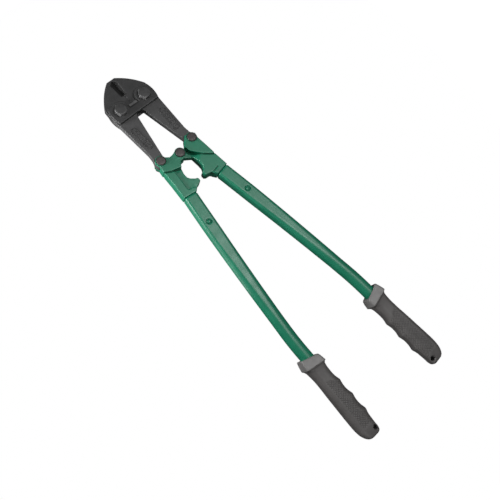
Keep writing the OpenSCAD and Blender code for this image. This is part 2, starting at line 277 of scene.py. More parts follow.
def even_loop(points, count):
    """A closed outline read again at even steps along its length."""
    ring = np.array(points + points[:1])
    along = np.concatenate([[0], np.cumsum(np.hypot(*np.diff(ring, axis=0).T))])
    at = np.linspace(0, along[-1], count, endpoint=False)
    return np.column_stack([np.interp(at, along, ring[:, 0]), np.interp(at, along, ring[:, 1])])


def rounded_box(width, height, corner, count):
    """An even loop round a box of half sizes width and height, from the middle of its +X side."""
    w, h = width - corner, height - corner
    quarter = arc((w, h), corner, 0, 90, 8)
    upper = quarter + [(-x, y) for x, y in reversed(quarter)]
    lower = [(x, -y) for x, y in reversed(upper)]
    return even_loop([(width, 0)] + upper + lower, count)


def sleeve(loops):
    """The points and side faces of a surface through rings of points."""
    count = len(loops[0])
    points = np.concatenate(loops)
    faces = []
    for i in range(len(loops) - 1):
        a, b = i * count, (i + 1) * count
        faces += [(a + j, a + (j + 1) % count, b + (j + 1) % count, b + j) for j in range(count)]
    return points, faces


def mix(a, b, t):
    return a + (b - a) * min(max(t, 0), 1)


# ---- the handles' path: distance d is measured behind the bolt line ----
SLOPE_0 = 0.1638
SLOPE_LOSS = 0.00017
TURN_START, TURN_END = 385.0, 425.0
GRIP_SLOPE = 0.045
PATH_STEP = 0.5
TUBE_X = 31.6
TUBE_FRONT_W = 10.4
TUBE_R = 9.9
TUBE_WALL = 1.8


def slope_at(d):
    """How fast a handle leans outwards at distance d: less and less, then a turn before the grip."""
    early = SLOPE_0 - SLOPE_LOSS * (min(d, TURN_START) - TUBE_FRONT)
    return mix(early, GRIP_SLOPE, (d - TURN_START) / (TURN_END - TURN_START))


PATH_D = np.arange(TUBE_FRONT, GRIP_END + 2, PATH_STEP)
rises = [slope_at(d) * PATH_STEP for d in PATH_D[:-1] + PATH_STEP / 2]
PATH_X = TUBE_X + np.concatenate([[0], np.cumsum(rises)])


def path_x(d):
    """How far out the handle's middle line is at distance d."""
    return np.interp(d, PATH_D, PATH_X)


def carried(loop, d, side, shift=0.0):
    """A section's loop set square to the path at distance d."""
    angle = math.atan(slope_at(d))
    x = path_x(d) + (loop[:, 0] + shift) * math.cos(angle)
    y = -d + (loop[:, 0] + shift) * math.sin(angle)
    return np.column_stack([side * x, y, loop[:, 1]])


def tube_loop(d, grow, side, count=120):
    """The tube's section: flat-sided near the head, round towards the grip. It can grow all round."""
    width = mix(TUBE_FRONT_W, TUBE_R, (d - 200) / 180) + grow
    height = mix(HEAD_HALF, TUBE_R, (d - 200) / 180) + grow
    corner = mix(4.2, TUBE_R - 0.1, (d - 215) / 150)
    return carried(rounded_box(width, height, max(corner + grow, 1.5), count), d, side)


# ---- node materials ----
def nodes_of(name):
    """A new material, its node tree and its main shader."""
    material = bpy.data.materials.new(name)
    material.use_nodes = True
    tree = material.node_tree
    return material, tree, tree.nodes["Principled BSDF"]


def link(tree, source, target):
    tree.links.new(source, target)


def noise(tree, scale, detail):
    """A noise texture in the object's own space; scale is features per metre."""
    coords = tree.nodes.new("ShaderNodeTexCoord")
    texture = tree.nodes.new("ShaderNodeTexNoise")
    texture.inputs["Scale"].default_value = scale
    texture.inputs["Detail"].default_value = detail
    texture.inputs["Roughness"].default_value = 0.55
    link(tree, coords.outputs["Object"], texture.inputs["Vector"])
    return texture.outputs["Fac"]


def spread(tree, value, low, high, out_low=0.0, out_high=1.0):
    """A value read between two limits as a share between two others."""
    node = tree.nodes.new("ShaderNodeMapRange")
    for key, number in zip(("From Min", "From Max", "To Min", "To Max"), (low, high, out_low, out_high)):
        node.inputs[key].default_value = number
    link(tree, value, node.inputs["Value"])
    return node.outputs["Result"]


def blend_colour(tree, share, a, b):
    """Colour a with b over it by a share; each colour is a value or a socket."""
    node = tree.nodes.new("ShaderNodeMix")
    node.data_type = "RGBA"
    for socket, value in ((node.inputs[0], share), (node.inputs[6], a), (node.inputs[7], b)):
        if isinstance(value, bpy.types.NodeSocket):
            link(tree, value, socket)
        else:
            socket.default_value = (*value, 1)
    return node.outputs[2]


def mottled(tree, scale, detail, dark, light):
    """A colour that drifts between two tones."""
    return blend_colour(tree, spread(tree, noise(tree, scale, detail), 0.3, 0.7), dark, light)


def pointiness(tree):
    return tree.nodes.new("ShaderNodeNewGeometry").outputs["Pointiness"]


def worn_edges(tree, low, high, patch_scale):
    """Where a mesh's convex edges are rubbed, broken up by noise."""
    edge = spread(tree, pointiness(tree), low, high)
    patch = spread(tree, noise(tree, patch_scale, 6), 0.4, 0.62)
    product = tree.nodes.new("ShaderNodeMath")
    product.operation = "MULTIPLY"
    link(tree, edge, product.inputs[0])
    link(tree, patch, product.inputs[1])
    return product.outputs[0]


def roughened(tree, shader, scale, detail, low, high):
    """Roughness that drifts between two values."""
    link(tree, spread(tree, noise(tree, scale, detail), 0.3, 0.7, low, high), shader.inputs["Roughness"])


def bumped(tree, shader, height, distance, strength):
    """Fine grain, with its depth in metres."""
    bump = tree.nodes.new("ShaderNodeBump")
    bump.inputs["Strength"].default_value = strength
    bump.inputs["Distance"].default_value = distance
    link(tree, height, bump.inputs["Height"])
    link(tree, bump.outputs["Normal"], shader.inputs["Normal"])


def grey(value):
    return (value, value, value)


def steel(name, dark, light, worn, metallic, rough, grain=900.0, gloss=0.5):
    """Blackened or forged steel: mottled oxide, fine grain and rubbed edges."""
    material, tree, shader = nodes_of(name)
    base = mottled(tree, 90, 6, dark, light)
    colour = blend_colour(tree, worn_edges(tree, 0.52, 0.6, 220), base, worn)
    link(tree, colour, shader.inputs["Base Color"])
    shader.inputs["Metallic"].default_value = metallic
    shader.inputs["Specular IOR Level"].default_value = gloss
    roughened(tree, shader, 260, 5, rough - 0.07, rough + 0.09)
    bumped(tree, shader, noise(tree, grain, 5), 0.00012, 0.35)
    return material


def green_paint(name, dark, light, gloss=0.4):
    """Enamel over a forging: slight orange peel, gentle tone changes, thin on its edges, and painted shade
    that darkens its creases and hollows.
    """
    material, tree, shader = nodes_of(name)
    base = mottled(tree, 35, 4, dark, light)
    colour = blend_colour(tree, worn_edges(tree, 0.53, 0.63, 300), base, (0.05, 0.26, 0.17))
    # painted shade: the colour darkens where the surface is concave, standing in for the shade in creases
    # and hollows
    painted_crease_shade = spread(tree, pointiness(tree), 0.48, 0.435)
    colour = blend_colour(tree, painted_crease_shade, colour, (0.001, 0.022, 0.012))
    link(tree, colour, shader.inputs["Base Color"])
    shader.inputs["Specular IOR Level"].default_value = gloss
    shader.inputs["Coat Weight"].default_value = 0.2 * gloss
    shader.inputs["Coat Roughness"].default_value = 0.25
    roughened(tree, shader, 90, 4, 0.38, 0.48)
    bumped(tree, shader, noise(tree, 240, 3), 0.00005, 0.25)
    return material


def grip_vinyl(name, dark, light):
    """Dipped grey vinyl: satin, slightly mottled, dust-lightened on its high edges, with painted shade
    darkening its hatch grooves and creases.
    """
    material, tree, shader = nodes_of(name)
    base = mottled(tree, 60, 5, dark, light)
    colour = blend_colour(tree, worn_edges(tree, 0.52, 0.58, 260), base, (0.13, 0.125, 0.12))
    # painted shade: the colour darkens where the surface is concave, in the hatch grooves and creases
    painted_crease_shade = spread(tree, pointiness(tree), 0.492, 0.46)
    colour = blend_colour(tree, painted_crease_shade, colour, (0.02, 0.019, 0.018))
    link(tree, colour, shader.inputs["Base Color"])
    roughened(tree, shader, 300, 5, 0.5, 0.62)
    bumped(tree, shader, noise(tree, 1500, 4), 0.00008, 0.4)
    return material


def pale_floor():
    """A white floor bright enough to stay white under the soft lights."""
    material, tree, shader = nodes_of("pale_floor")
    link(tree, mottled(tree, 3, 2, grey(0.9), grey(0.92)), shader.inputs["Base Color"])
    shader.inputs["Roughness"].default_value = 0.9
    shader.inputs["Emission Color"].default_value = (1, 1, 1, 1)
    shader.inputs["Emission Strength"].default_value = 1.0
    return material


# ---- forged parts ----
def plate(name, front):
    """A side plate: two lobes round the bolts, a straight rear edge and rounded rims."""
    half = ([(-3, PLATE_REAR)] + bow((35.6, PLATE_REAR), (35.4, 13.4), -2.5)
            + arc(BOLT, 15.4, 62, 172) + [(0, 2.3), (-3, 2.3)])
    sign = 1 if front else -1
    z = sorted((sign * (PLATE_IN - 1), sign * (PLATE_OUT + 1)))
    block = Block((-39.5, PLATE_REAR - 1.5, z[0]), (39.5, 17, z[1]), 0.36)
    flat = np.minimum(block.outline(half), block.outline(flip(half)))
    levels = sorted((sign * PLATE_IN, sign * PLATE_OUT))
    block.add(block.slab(flat, levels[0], levels[1], 0.9))
    # a broad chamfer on the waist between the bolts
    fall, start, half_width = 0.55, -3.8, 8.5
    slant = sign * block.z + fall * (block.y[:, :, None] - start) - PLATE_OUT
    block.cut(np.maximum(-slant / math.hypot(1, fall), (np.abs(block.x) - half_width)[:, :, None]), 0.6)
    return thinned(block.mesh(name), 0.45)


def add_label(block):
    """A raised frame with round ends, round a row of plain blocks."""
    (x0, y0), (x1, y1) = (27.1, -33.6), (25.4, -63.6)
    middle = block.outline([(x0 - 0.2, y0), (x0 + 0.2, y0), (x1 + 0.2, y1), (x1 - 0.2, y1)])
    ring = np.abs(middle - 4.3) - 0.6
    block.add(block.slab(ring, JAW_HALF - 1, JAW_HALF + 0.8, 0.4), 0.3)
    for t in np.linspace(0.08, 0.92, 5):
        x, y = x0 + (x1 - x0) * t, y0 + (y1 - y0) * t
        tile = [(x - 1.7, y - 1.6), (x + 1.7, y - 1.6), (x + 1.7, y + 1.6), (x - 1.7, y + 1.6)]
        block.add(block.slab(block.outline(tile), JAW_HALF - 1, JAW_HALF + 0.45, 0.3), 0.3)


def jaw(name, side):
    """A forged jaw: nose with two cutting bevels, an arm with a raised label frame, and its eye."""
    nose = [(-3, TIP_Y)] + bow((6.9, TIP_Y), (37.6, 16.2), 2.6) + bow((37.6, 16.2), (37.2, -17), 0.9)
    # relieved behind the contact line, so that the jaws clear each other as they open
    arm = [(36.2, -38), (34.5, -73), (35.4, -82), (37.8, -90), (21.3, -90), (6.8, -18), (2.9, -11),
           (0, 1), (-3, 1)]
    block = Block((-1, TAIL[1] - EYE_R - 1, -JAW_HALF - 1.6), (39.5, TIP_Y + 1, JAW_HALF + 1.7), 0.33)
    flat = np.minimum(block.outline(nose + arm), block.disc(TAIL, EYE_R))
    block.add(block.slab(flat, -JAW_HALF, JAW_HALF, 0.75))
    block.cut((block.x - 0.01)[:, :, None])
    # the cutting bevels widen forwards from a straight wall and run out before the tip
    groove = 4.9 + 0.055 * (block.y - BEVEL_START)
    slope = ((JAW_HALF - BLADE_LAND) / groove)[:, :, None]
    land = (BLADE_LAND + 0.9 * np.maximum(block.y - (TIP_Y - 6.5), 0))[:, :, None]
    bevel = (land + block.x[:, :, None] * slope - np.abs(block.z)) / np.sqrt(1 + slope * slope)
    block.cut(np.maximum(bevel, (BEVEL_START - block.y)[:, :, None]), 0.3)
    add_label(block)
    mesh = block.mesh(name)
    if side < 0:
        mesh.transform(Matrix.Scale(-1, 4, (1, 0, 0)))
        mesh.flip_normals()
    return thinned(mesh, 0.4)


def tube_seat(side):
    """The head's rear corner on that side of the tube."""
    angle = math.atan(SLOPE_0)
    return (TUBE_X + side * TUBE_FRONT_W * math.cos(angle),
            -TUBE_FRONT + side * TUBE_FRONT_W * math.sin(angle) + 0.05)


def jaw_slot(block, side):
    """The slot in a head's ear for the jaw's eye and arm as the handle swings out."""
    reach, wide = EYE_R + 0.9, 30

    def turned_out(x, y, degrees):
        c, s = math.cos(math.radians(degrees)), math.sin(math.radians(degrees))
        return (TAIL[0] + x * c - y * s, TAIL[1] + x * s + y * c)

    outline = (arc(TAIL, reach, 184.5, 313, 20) + [turned_out(reach, wide, -47)]
               + [turned_out(0, 42, -21), turned_out(-reach, wide, 4.5)])
    flat = block.outline(outline if side > 0 else flip(outline))
    return block.slab(flat, -JAW_HALF - 0.15, JAW_HALF + 0.15, 0.01)


def shank(block, side):
    """The square shank that the tube slides over."""
    angle = math.atan(SLOPE_0)
    along = (math.sin(angle), -math.cos(angle))
    across = (math.cos(angle), math.sin(angle))
    corners = [(TUBE_X + a * across[0] + b * along[0], -TUBE_FRONT + a * across[1] + b * along[1])
               for a, b in ((-7.5, -3), (7.5, -3), (7.5, 59), (-7.5, 59))]
    flat = block.outline(corners if side > 0 else flip(corners))
    return block.slab(flat, -6.25, 6.25, 1.0)


def undercut(block, raised, level, width):
    """A narrow groove along the foot of a raised ear, down to this level on both faces."""
    groove = np.abs(raised - width / 2) - width / 2 + 0.1
    block.sink(groove, level, 0.2, 0.3)


def shaded_recess(mesh, block, raised, body, width):
    """Marks the faces down in the groove beside a raised ear for the second material, a dark enamel that is
    painted shade in the groove.
    """
    for face in mesh.polygons:
        cell = ((np.array(face.center[:2]) - block.low[:2]) / block.step).round().astype(int)
        i, j = np.clip(cell, 0, np.array(raised.shape) - 1)
        depth = body[i, j] - abs(face.center[2])
        if 0 < raised[i, j] < width[i, j] and 0.5 < depth < 2.5:
            face.material_index = 1
    return mesh


def pin_seat(block, centre):
    """A fine ring sunk round a pin's head."""
    ring = np.abs(block.disc(centre, PIN_HEAD_R + 0.35)) - 0.4
    block.cut(block.slab(ring, EAR_HALF - 0.8, block.BEYOND, 0.1), 0.2)


def right_head(name):
    """Forged head with a tongue at the centre pin, a raised ear and a dished flank."""
    ear = [(38.4, -90), (23.5, -84), (20.5, -87), (16.6, -92.6), (13.2, -95.4), (12, -98), (11.4, -102),
           (13.2, -106.2), (17.7, -112), (22.6, -117.3), (27.7, -122.4), (37, -129.8), (39.4, -129.8),
           (38, -111), (36.6, -98)]
    body = ([(36.4, -102), (38, -111), (39.4, -129.8), tube_seat(1), tube_seat(-1), (15.2, -149.7),
             (8, -148.8), (5.5, -146.8), (5.3, -143), (6.6, -140.6), (11, -138.4), (13, -133.5), (13, -126),
             (10.7, -114.9), (9.8, -110), (11, -104), (20, -98)])
    tongue = [(1.5, -92.8), (12, -97), (24, -103), (24, -126), (10.9, -115.5), (-2, -107)]
    block = Block((-9.5, -219, -EAR_HALF - 0.9), (46, TAIL[1] + 10.5, EAR_HALF + 1.2), 0.4)
    reach = np.hypot(block.x - CENTRE[0], block.y - CENTRE[1])
    height = TONGUE_HALF + (HEAD_HALF - TONGUE_HALF) * smooth_step(12, 31, reach)
    block.add(block.slab(block.outline(body), -height, height, 1.3))
    for flat in (block.outline(tongue), block.disc(CENTRE, 8.2)):
        block.add(block.slab(flat, -TONGUE_HALF, TONGUE_HALF, 0.6), 1.2)
    raised = np.minimum(block.outline(ear), block.disc(TAIL, EAR_R))
    block.add(block.slab(raised, -EAR_HALF, EAR_HALF, 0.8), 0.2)
    width = 4.4 - 2.0 * smooth_step(22, 32, reach)
    undercut(block, raised, height - 1.7, width)
    pin_seat(block, TAIL)
    # short creases in front of the tube's seat
    crease = block.outline([(16.8, -151.6), (28.8, -149.4), (28.8, -149.2), (16.8, -151.4)]) - 0.5
    block.sink(crease, HEAD_HALF - 1.0, 0.2, 0.8)
    block.sink(block.disc(CENTRE, FORK_CLEAR_R), TONGUE_HALF, 0.01, 0.5)
    block.cut(jaw_slot(block, 1))
    block.add(shank(block, 1))
    return shaded_recess(thinned(block.mesh(name), 0.4), block, raised, height, width)


def left_head(name):
    """Forged head that forks over the tongue, with a sunken panel inside a raised border."""
    ear = ([(-38.4, -90), (-36.6, -98), (-38.2, -107.4), (-28, -112.9), (-12.9, -117.4), (-10.8, -113),
            (-8.2, -110.3), (1, -109)] + arc(CENTRE, 8.3, -75, 130)
           + [(-10.8, -95.4), (-16.2, -95.8), (-21.7, -91.6), (-24, -86)])
    tail, seat_out, seat_in = flip([TAIL, tube_seat(1), tube_seat(-1)])
    body = [(-36.4, -102), (-38, -111), (-39.4, -129.8), seat_out, seat_in, (-14.7, -152.3),
            (-8.2, -150.7), (-5.4, -148.8), (-5, -145.5), (-6.2, -143.2), (-9, -142.2), (-14.6, -137.6),
            (-17, -133.5), (-17, -126.6), (-15, -120.4), (-11, -112), (-11, -98)]
    panel = [(-25.2, -110), (-27.2, -131), (-29, -147), (-28.4, -149.2), (-26, -150.2), (-21.6, -150.6),
             (-18.5, -152.2), (-17.4, -156), (2, -156), (2, -110)]
    block = Block((-46, -219, -EAR_HALF - 0.9), (9.5, TAIL[1] + 10.5, EAR_HALF + 1.2), 0.4)
    block.add(block.slab(block.outline(body), -HEAD_HALF, HEAD_HALF, 1.3))
    sunken, floor = block.outline(panel), HEAD_HALF - 1.9
    block.sink(sunken, floor, 0.4, 0.9)
    raised = np.minimum(block.outline(ear), block.disc(tail, EAR_R))
    block.add(block.slab(raised, -EAR_HALF, EAR_HALF, 0.8), 0.2)
    height = np.where(sunken < 0, floor, HEAD_HALF)
    # wider beside the gap between the heads
    width = 2.4 + 1.4 * smooth_step(-26, -14, block.x)
    undercut(block, raised, height - 1.3, width)
    pin_seat(block, tail)
    pin_seat(block, CENTRE)
    block.cut(block.slab(block.disc(CENTRE, FORK_CLEAR_R), -JAW_HALF - 0.1, JAW_HALF + 0.1, 0.01))
    block.cut(jaw_slot(block, -1))
    block.add(shank(block, -1))
    return shaded_recess(thinned(block.mesh(name), 0.4), block, raised, height, width)


# ---- turned fasteners ----
def jaw_bolt_mesh(name, side):
    """A hexagon bolt with a washer face under its head. The two stand at different angles."""
    turn = 0 if side > 0 else 14
    hexa = hexagon(BOLT_FLATS, turn)
    rings = hex_end(BOLT_FLATS, BOLT_TOP, 1, turn)
    rings += [(hexa, PLATE_OUT + 0.85), (hexa - 0.25, PLATE_OUT + 0.62), (8.2, PLATE_OUT + 0.6),
              (8.2, PLATE_OUT), (BOLT_R, PLATE_OUT), (BOLT_R, BOLT_END + 0.9), (BOLT_R - 0.8, BOLT_END)]
    return turned(name, rings, BOLT, side)


def nut_mesh(name, centre, side, flats, low, high, hole):
    """A hexagon nut, chamfered at its lower end."""
    hexa = hexagon(flats)
    rings = [(hole, high), (hexa - 0.3, high), (hexa, high - 0.3)]
    rings += list(reversed(hex_end(flats, low, -1)))
    rings += [(hole + 0.6, low), (hole, low + 0.6)]
    return turned(name, rings, centre, side)


def washer_mesh(name, side):
    """A plain washer behind the rear plate."""
    low, high, hole, radius = WASHER_END, -PLATE_OUT, BOLT_R + 0.25, 10
    rings = [(hole, high), (radius - 0.3, high), (radius, high - 0.3), (radius, low + 0.3),
             (radius - 0.3, low), (hole, low)]
    return turned(name, rings, BOLT, side)


def pin_mesh(name, centre):
    """A pin with a domed head, its rim just off the ear."""
    rim, rise = 1.1, PIN_TOP - EAR_HALF
    crown = [(math.sin(a) ** 0.6, math.cos(a) ** 0.6) for a in np.radians(np.linspace(2, 89.5, 14))]
    rings = [(PIN_HEAD_R * r, EAR_HALF + rim + (rise - rim) * z) for r, z in crown]
    rings += [(PIN_HEAD_R, EAR_HALF + 0.25), (PIN_HEAD_R - 0.25, EAR_HALF), (PIN_R, EAR_HALF)]
    rings += [(PIN_R, PIN_END + 0.7), (PIN_R - 0.7, PIN_END)]
    return turned(name, rings, centre)


def rivet_mesh(name, side):
    """A rivet through tube and shank, with a small dome at each end."""
    centre = (float(path_x(RIVET_DISTANCE)), -RIVET_DISTANCE)
    rise, radius, stem = 1.5, 2.9, 2.4
    foot = RIVET_TOP - rise
    angles = np.radians(np.linspace(6, 90, 9))
    dome = [(radius * math.sin(a), foot + rise * math.cos(a)) for a in angles]
    rings = dome + [(stem, foot - 0.1), (stem, 0.1 - foot)] + [(r, -z) for r, z in reversed(dome)]
    return turned(name, rings, centre, side, 64)


# ---- tubes and grips ----
def dimpled(loop, side):
    """Sinks the tube's wall a little round its rivet."""
    reach = np.hypot(loop[:, 0] - side * path_x(RIVET_DISTANCE), loop[:, 1] + RIVET_DISTANCE)
    on_faces = np.abs(loop[:, 2]) > 7
    sunk = loop.copy()
    sunk[:, 2] -= np.sign(loop[:, 2]) * 1.1 * smooth_step(4.9, 3.1, reach) * on_faces
    return sunk


def tube_mesh(name, side):
    """A steel tube with a narrow groove where it meets the head, open inside."""
    lip = ((0, -1.2), (1.1, -1.2), (1.3, -0.6), (1.7, -0.15), (2.4, 0))
    outer = [tube_loop(TUBE_FRONT + d, grow, side) for d, grow in lip]
    steps = np.concatenate([np.arange(TUBE_FRONT + 4, RIVET_DISTANCE - 7, 4),
                            np.arange(RIVET_DISTANCE - 6, RIVET_DISTANCE + 6, 0.5),
                            np.arange(RIVET_DISTANCE + 7, TUBE_END - 1, 4)])
    outer += [dimpled(tube_loop(d, 0, side), side) for d in steps]
    inner = [tube_loop(d, -TUBE_WALL, side) for d in (TUBE_END, 400, 300, 200, TUBE_FRONT + 0.4)]
    loops = outer + [tube_loop(TUBE_END, 0, side)] + inner
    # the last ring is the first one again
    points, faces = sleeve(loops + [loops[0]])
    total = len(loops) * len(loops[0])
    faces = [tuple(v % total for v in f) for f in faces]
    return mesh_from(name, points[:total], faces)


# distance behind the guard's front edge, half width, half thickness, side offset
GRIP_STATIONS = [
    (0, 12.6, 10.9, 0.2), (0.8, 13.3, 11.5, 0.2), (14, 15.6, 14.4, 0.5), (14.8, 15.7, 14.5, 0.5),
    (15.6, 15.2, 13.4, 0.5), (17, 14.7, 12.4, 0.5), (21, 14.1, 11.8, 0.5), (27, 13.4, 11.5, 0.5),
    (36, 13, 11.4, 0.4), (48, 13.1, 11.5, 0.5), (62, 13.7, 11.9, 0.6), (84, 14.3, 12, 0.8),
    (104, 14.8, 12, 1.0), (117, 14.7, 11.6, 1.3), (127, 14, 10.9, 1.1), (134, 12.9, 9.9, 0),
    (138.5, 11.2, 8.3, -0.9), (141.2, 8.2, 5.6, -1.8), (142, 4.6, 2.4, -2.5)]
RIDGES = (54, 79.5, 106)
RIDGE_HEIGHT = 2.2
HATCH_FROM, HATCH_TO = 44, 121
HATCH_PITCH = 3.5
HATCH_DEPTH = 0.65
CREASE = 14.4
GUARD_LEAN = 7.5
CREASE_LEAN = 5.5


def smooth_column(column, s):
    """A column of the grip's stations read at s by a curve that doesn't overshoot."""
    at = np.array([row[0] for row in GRIP_STATIONS], float)
    value = np.array([row[column] for row in GRIP_STATIONS], float)
    slope = np.diff(value) / np.diff(at)
    tangent = np.zeros(len(at))
    same = slope[:-1] * slope[1:] > 0
    tangent[1:-1][same] = 2 * slope[:-1][same] * slope[1:][same] / (slope[:-1] + slope[1:])[same]
    tangent[0], tangent[-1] = slope[0], slope[-1]
    i = int(np.clip(np.searchsorted(at, s) - 1, 0, len(at) - 2))
    h = at[i + 1] - at[i]
    t = (s - at[i]) / h
    return (value[i] * (1 + 2 * t) * (1 - t) ** 2 + value[i + 1] * t * t * (3 - 2 * t)
            + h * (tangent[i] * t * (1 - t) ** 2 - tangent[i + 1] * t * t * (1 - t)))


def hatched(loop, s, half_width):
    """Presses the cross-hatch into the top and bottom of a section, on its inner two thirds."""
    x, z = loop[:, 0], loop[:, 1]
    start = HATCH_FROM - 0.5 * x
    along = smooth_step(start, start + 3, s) * (1 - smooth_step(HATCH_TO, HATCH_TO + 4, s))
    across = smooth_step(0.5, 0.38, x / half_width) * smooth_step(-0.97, -0.86, x / half_width)
    normal = np.column_stack([x / half_width ** 2, z / 144.0])
    normal /= np.hypot(normal[:, 0], normal[:, 1])[:, None]
    flat_share = smooth_step(0.35, 0.6, np.abs(normal[:, 1]))
    depth = 0
    for direction in (-1, 1):
        phase = (s + direction * x) / HATCH_PITCH
        depth = np.maximum(depth, np.exp(-((phase - np.round(phase)) / 0.17) ** 2))
    return loop - normal * (HATCH_DEPTH * depth * along * across * flat_share)[:, None]


def grip_loop(s, side, count):
    """The grip's section at distance s behind the guard's front edge."""
    width, height, shift = (smooth_column(c, s) for c in (1, 2, 3))
    ridge = RIDGE_HEIGHT * max(math.exp(-(abs(s - r) / 6) ** 1.6) for r in RIDGES) if s < 122 else 0
    width += ridge / 2
    corner = mix(0.24, 0.78, (s - 14.5) / 5) * min(width, height)
    loop = hatched(rounded_box(width, height, corner, count), s, width)
    d = GRIP_FRONT + s * (GRIP_END - GRIP_FRONT) / GRIP_STATIONS[-1][0]
    ring = carried(loop, d, side, shift - ridge / 2)
    # the guard leans back on its inner side
    lean = mix(GUARD_LEAN, CREASE_LEAN, s / 15) * mix(1, 0, (s - 15) / 24)
    ring[:, 1] -= lean * (0.5 - loop[:, 0] / (2 * width))
    return ring


def grip_mesh(name, side):
    """A moulded grip: flared guard, neck, three finger ridges, cross-hatch and a hanging hole."""
    count = 150
    steps = np.concatenate([np.arange(0, 44, 1.0), np.arange(44, 126, 0.55), np.arange(126, 138, 0.8),
                            np.linspace(138, 142, 9)])
    outer = [grip_loop(s, side, count) for s in steps]
    bore = [tube_loop(GRIP_FRONT + d, 0.12, side, count) for d in (113, 60, 0.6)]
    # the mouth leans back with the guard
    offset = side * bore[-1][:, 0] - path_x(GRIP_FRONT)
    set_back = GUARD_LEAN * (0.5 - offset / (2 * GRIP_STATIONS[0][1]))
    bore[-1] += np.column_stack([side * GRIP_SLOPE * set_back, -set_back, 0 * set_back])
    points, faces = sleeve(bore + outer)
    faces.append(tuple(range(count)))
    last = len(points) - count
    faces.append(tuple(reversed(range(last, last + count))))
    return bored(mesh_from(name, points, faces), (side * HANG[0], HANG[1]))


def bored(mesh, centre):
    """The grip with its hanging hole, which widens a little at both faces."""
    mouth = HANG_R + 1.3
    rings = [(mouth, -20), (mouth, -9.4), (HANG_R, -7.8), (HANG_R, 7.8), (mouth, 9.4), (mouth, 20)]
    cutter = bpy.data.objects.new("hang_cutter", turned("hang_cutter", rings, centre, 1, 48))
    bpy.context.scene.collection.objects.link(cutter)
    result = modified(mesh, "BOOLEAN", object=cutter, operation="DIFFERENCE", solver="EXACT")
    bpy.data.objects.remove(cutter)
    return result


# ---- pieces ----
def repainted(obj, material, chosen):
    """Gives one more material to the faces that pass a test of their centre and normal."""
    slot = len(obj.data.materials)
    obj.data.materials.append(material)
    for face in obj.data.polygons:
        if chosen(TO_DESIGN @ face.center, face.normal):
            face.material_index = slot


def on_nose(centre, _normal):
    """The jaw's dark front half, which ends under the side plates."""
    return centre.y > -13


def on_guard(centre, _normal):
    """The guard's front slope, ahead of its crease; it is painted lighter, as painted light on the slope
    that faces the lamps.
    """
    offset = abs(centre.x) - path_x(-centre.y) - 0.5
    return -centre.y - GRIP_FRONT - CREASE_LEAN * (0.5 - offset / 31.2) < CREASE


def on_waist(centre, normal):
    """The chamfer on the plate's waist, between the bolts, which gets a painted highlight."""
    return abs(centre.x) < 6.6 and -2.6 < centre.y < 2.2 and 0.6 < abs(normal.z) < 0.97


def on_lobe_rim(centre, normal):
    """The plate's rims that face each other across the waist, which get painted shade in dark steel."""
    return centre.y > 3 and abs(centre.x) < 30 and normal.x * centre.x < 0 and abs(normal.z) < 0.9


def on_dark_jaw(centre, normal):
    """The V between the jaws, and the walls of the label's raised marks, which get painted shade in dark
    steel.
    """
    below_face = abs(centre.z) < JAW_HALF - 0.35
    in_v = below_face and abs(centre.x) < 7 and BEVEL_START - 0.8 < centre.y < TIP_Y - 0.6
    return in_v or (abs(centre.z) > JAW_HALF + 0.05 and abs(normal.z) < 0.93)


def piece(node, mesh, material):
    """One visible piece that stands for a CAD node and rides on that node's body."""
    mesh.transform(TO_SCENE)
    mesh.materials.append(material)
    obj = bpy.data.objects.new(node + "_finished", mesh)
    bpy.context.scene.collection.objects.link(obj)
    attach(obj, body_of_node[node])
    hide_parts(node)
    return obj


black_steel = steel("blackened_steel", (0.026, 0.026, 0.0265), (0.037, 0.037, 0.0375), grey(0.055), 0.2, 0.5)
# a dark matte steel that is painted shade on the plates' lobe rims, the V between the jaws and the label's
# walls
painted_shade_steel = steel("painted_shade_steel", grey(0.015), grey(0.023), grey(0.03), 0, 0.8, gloss=0.12)
# a lighter steel that is a painted highlight on the plates' waist chamfer
painted_highlight_steel = steel("painted_highlight_steel", (0.13, 0.13, 0.131), (0.18, 0.18, 0.181), grey(0.22), 0.1, 0.6)
forged = steel("forged_steel", (0.043, 0.043, 0.0435), (0.058, 0.058, 0.0585), grey(0.085), 0.2, 0.52, 600.0)
bolt_steel = steel("bolt_steel", (0.034, 0.034, 0.0345), (0.050, 0.050, 0.0505), grey(0.32), 0.25, 0.45)
pin_steel = steel("pin_steel", (0.036, 0.030, 0.0295), (0.05, 0.043, 0.042), (0.1, 0.09, 0.09), 0.2, 0.5)
paint = green_paint("green_enamel", (0.004, 0.130, 0.070), (0.010, 0.165, 0.092))
# a dark enamel that is painted shade, laid in the grooves at the foot of the heads' raised ears
recess_shade_paint = green_paint("painted_shade_enamel", (0.001, 0.045, 0.022), (0.002, 0.06, 0.03), gloss=0.08)
vinyl = grip_vinyl("grip_vinyl", (0.064, 0.0605, 0.059), (0.084, 0.079, 0.0775))
# a lighter vinyl that is painted light on the guard's front slope
painted_light_vinyl = grip_vinyl("painted_light_vinyl", (0.135, 0.132, 0.130), (0.17, 0.166, 0.164))


def build_plates():
    for word in ("front", "rear"):
        mesh = plate(word + "_plate_mesh", word == "front")
        side_plate = piece(word + "_plate", mesh, black_steel)
        # a painted highlight on the waist chamfer, in lighter steel
        repainted(side_plate, painted_highlight_steel, on_waist)
        # painted shade on the rims facing across the waist, in dark steel
        repainted(side_plate, painted_shade_steel, on_lobe_rim)


def build_heads():
    for node, mesh in (("left_handle_head", left_head("left_head_mesh")),
                       ("right_handle_head", right_head("right_head_mesh"))):
        # the second material is painted shade in the grooves beside the raised ears
        piece(node, mesh, paint).data.materials.append(recess_shade_paint)


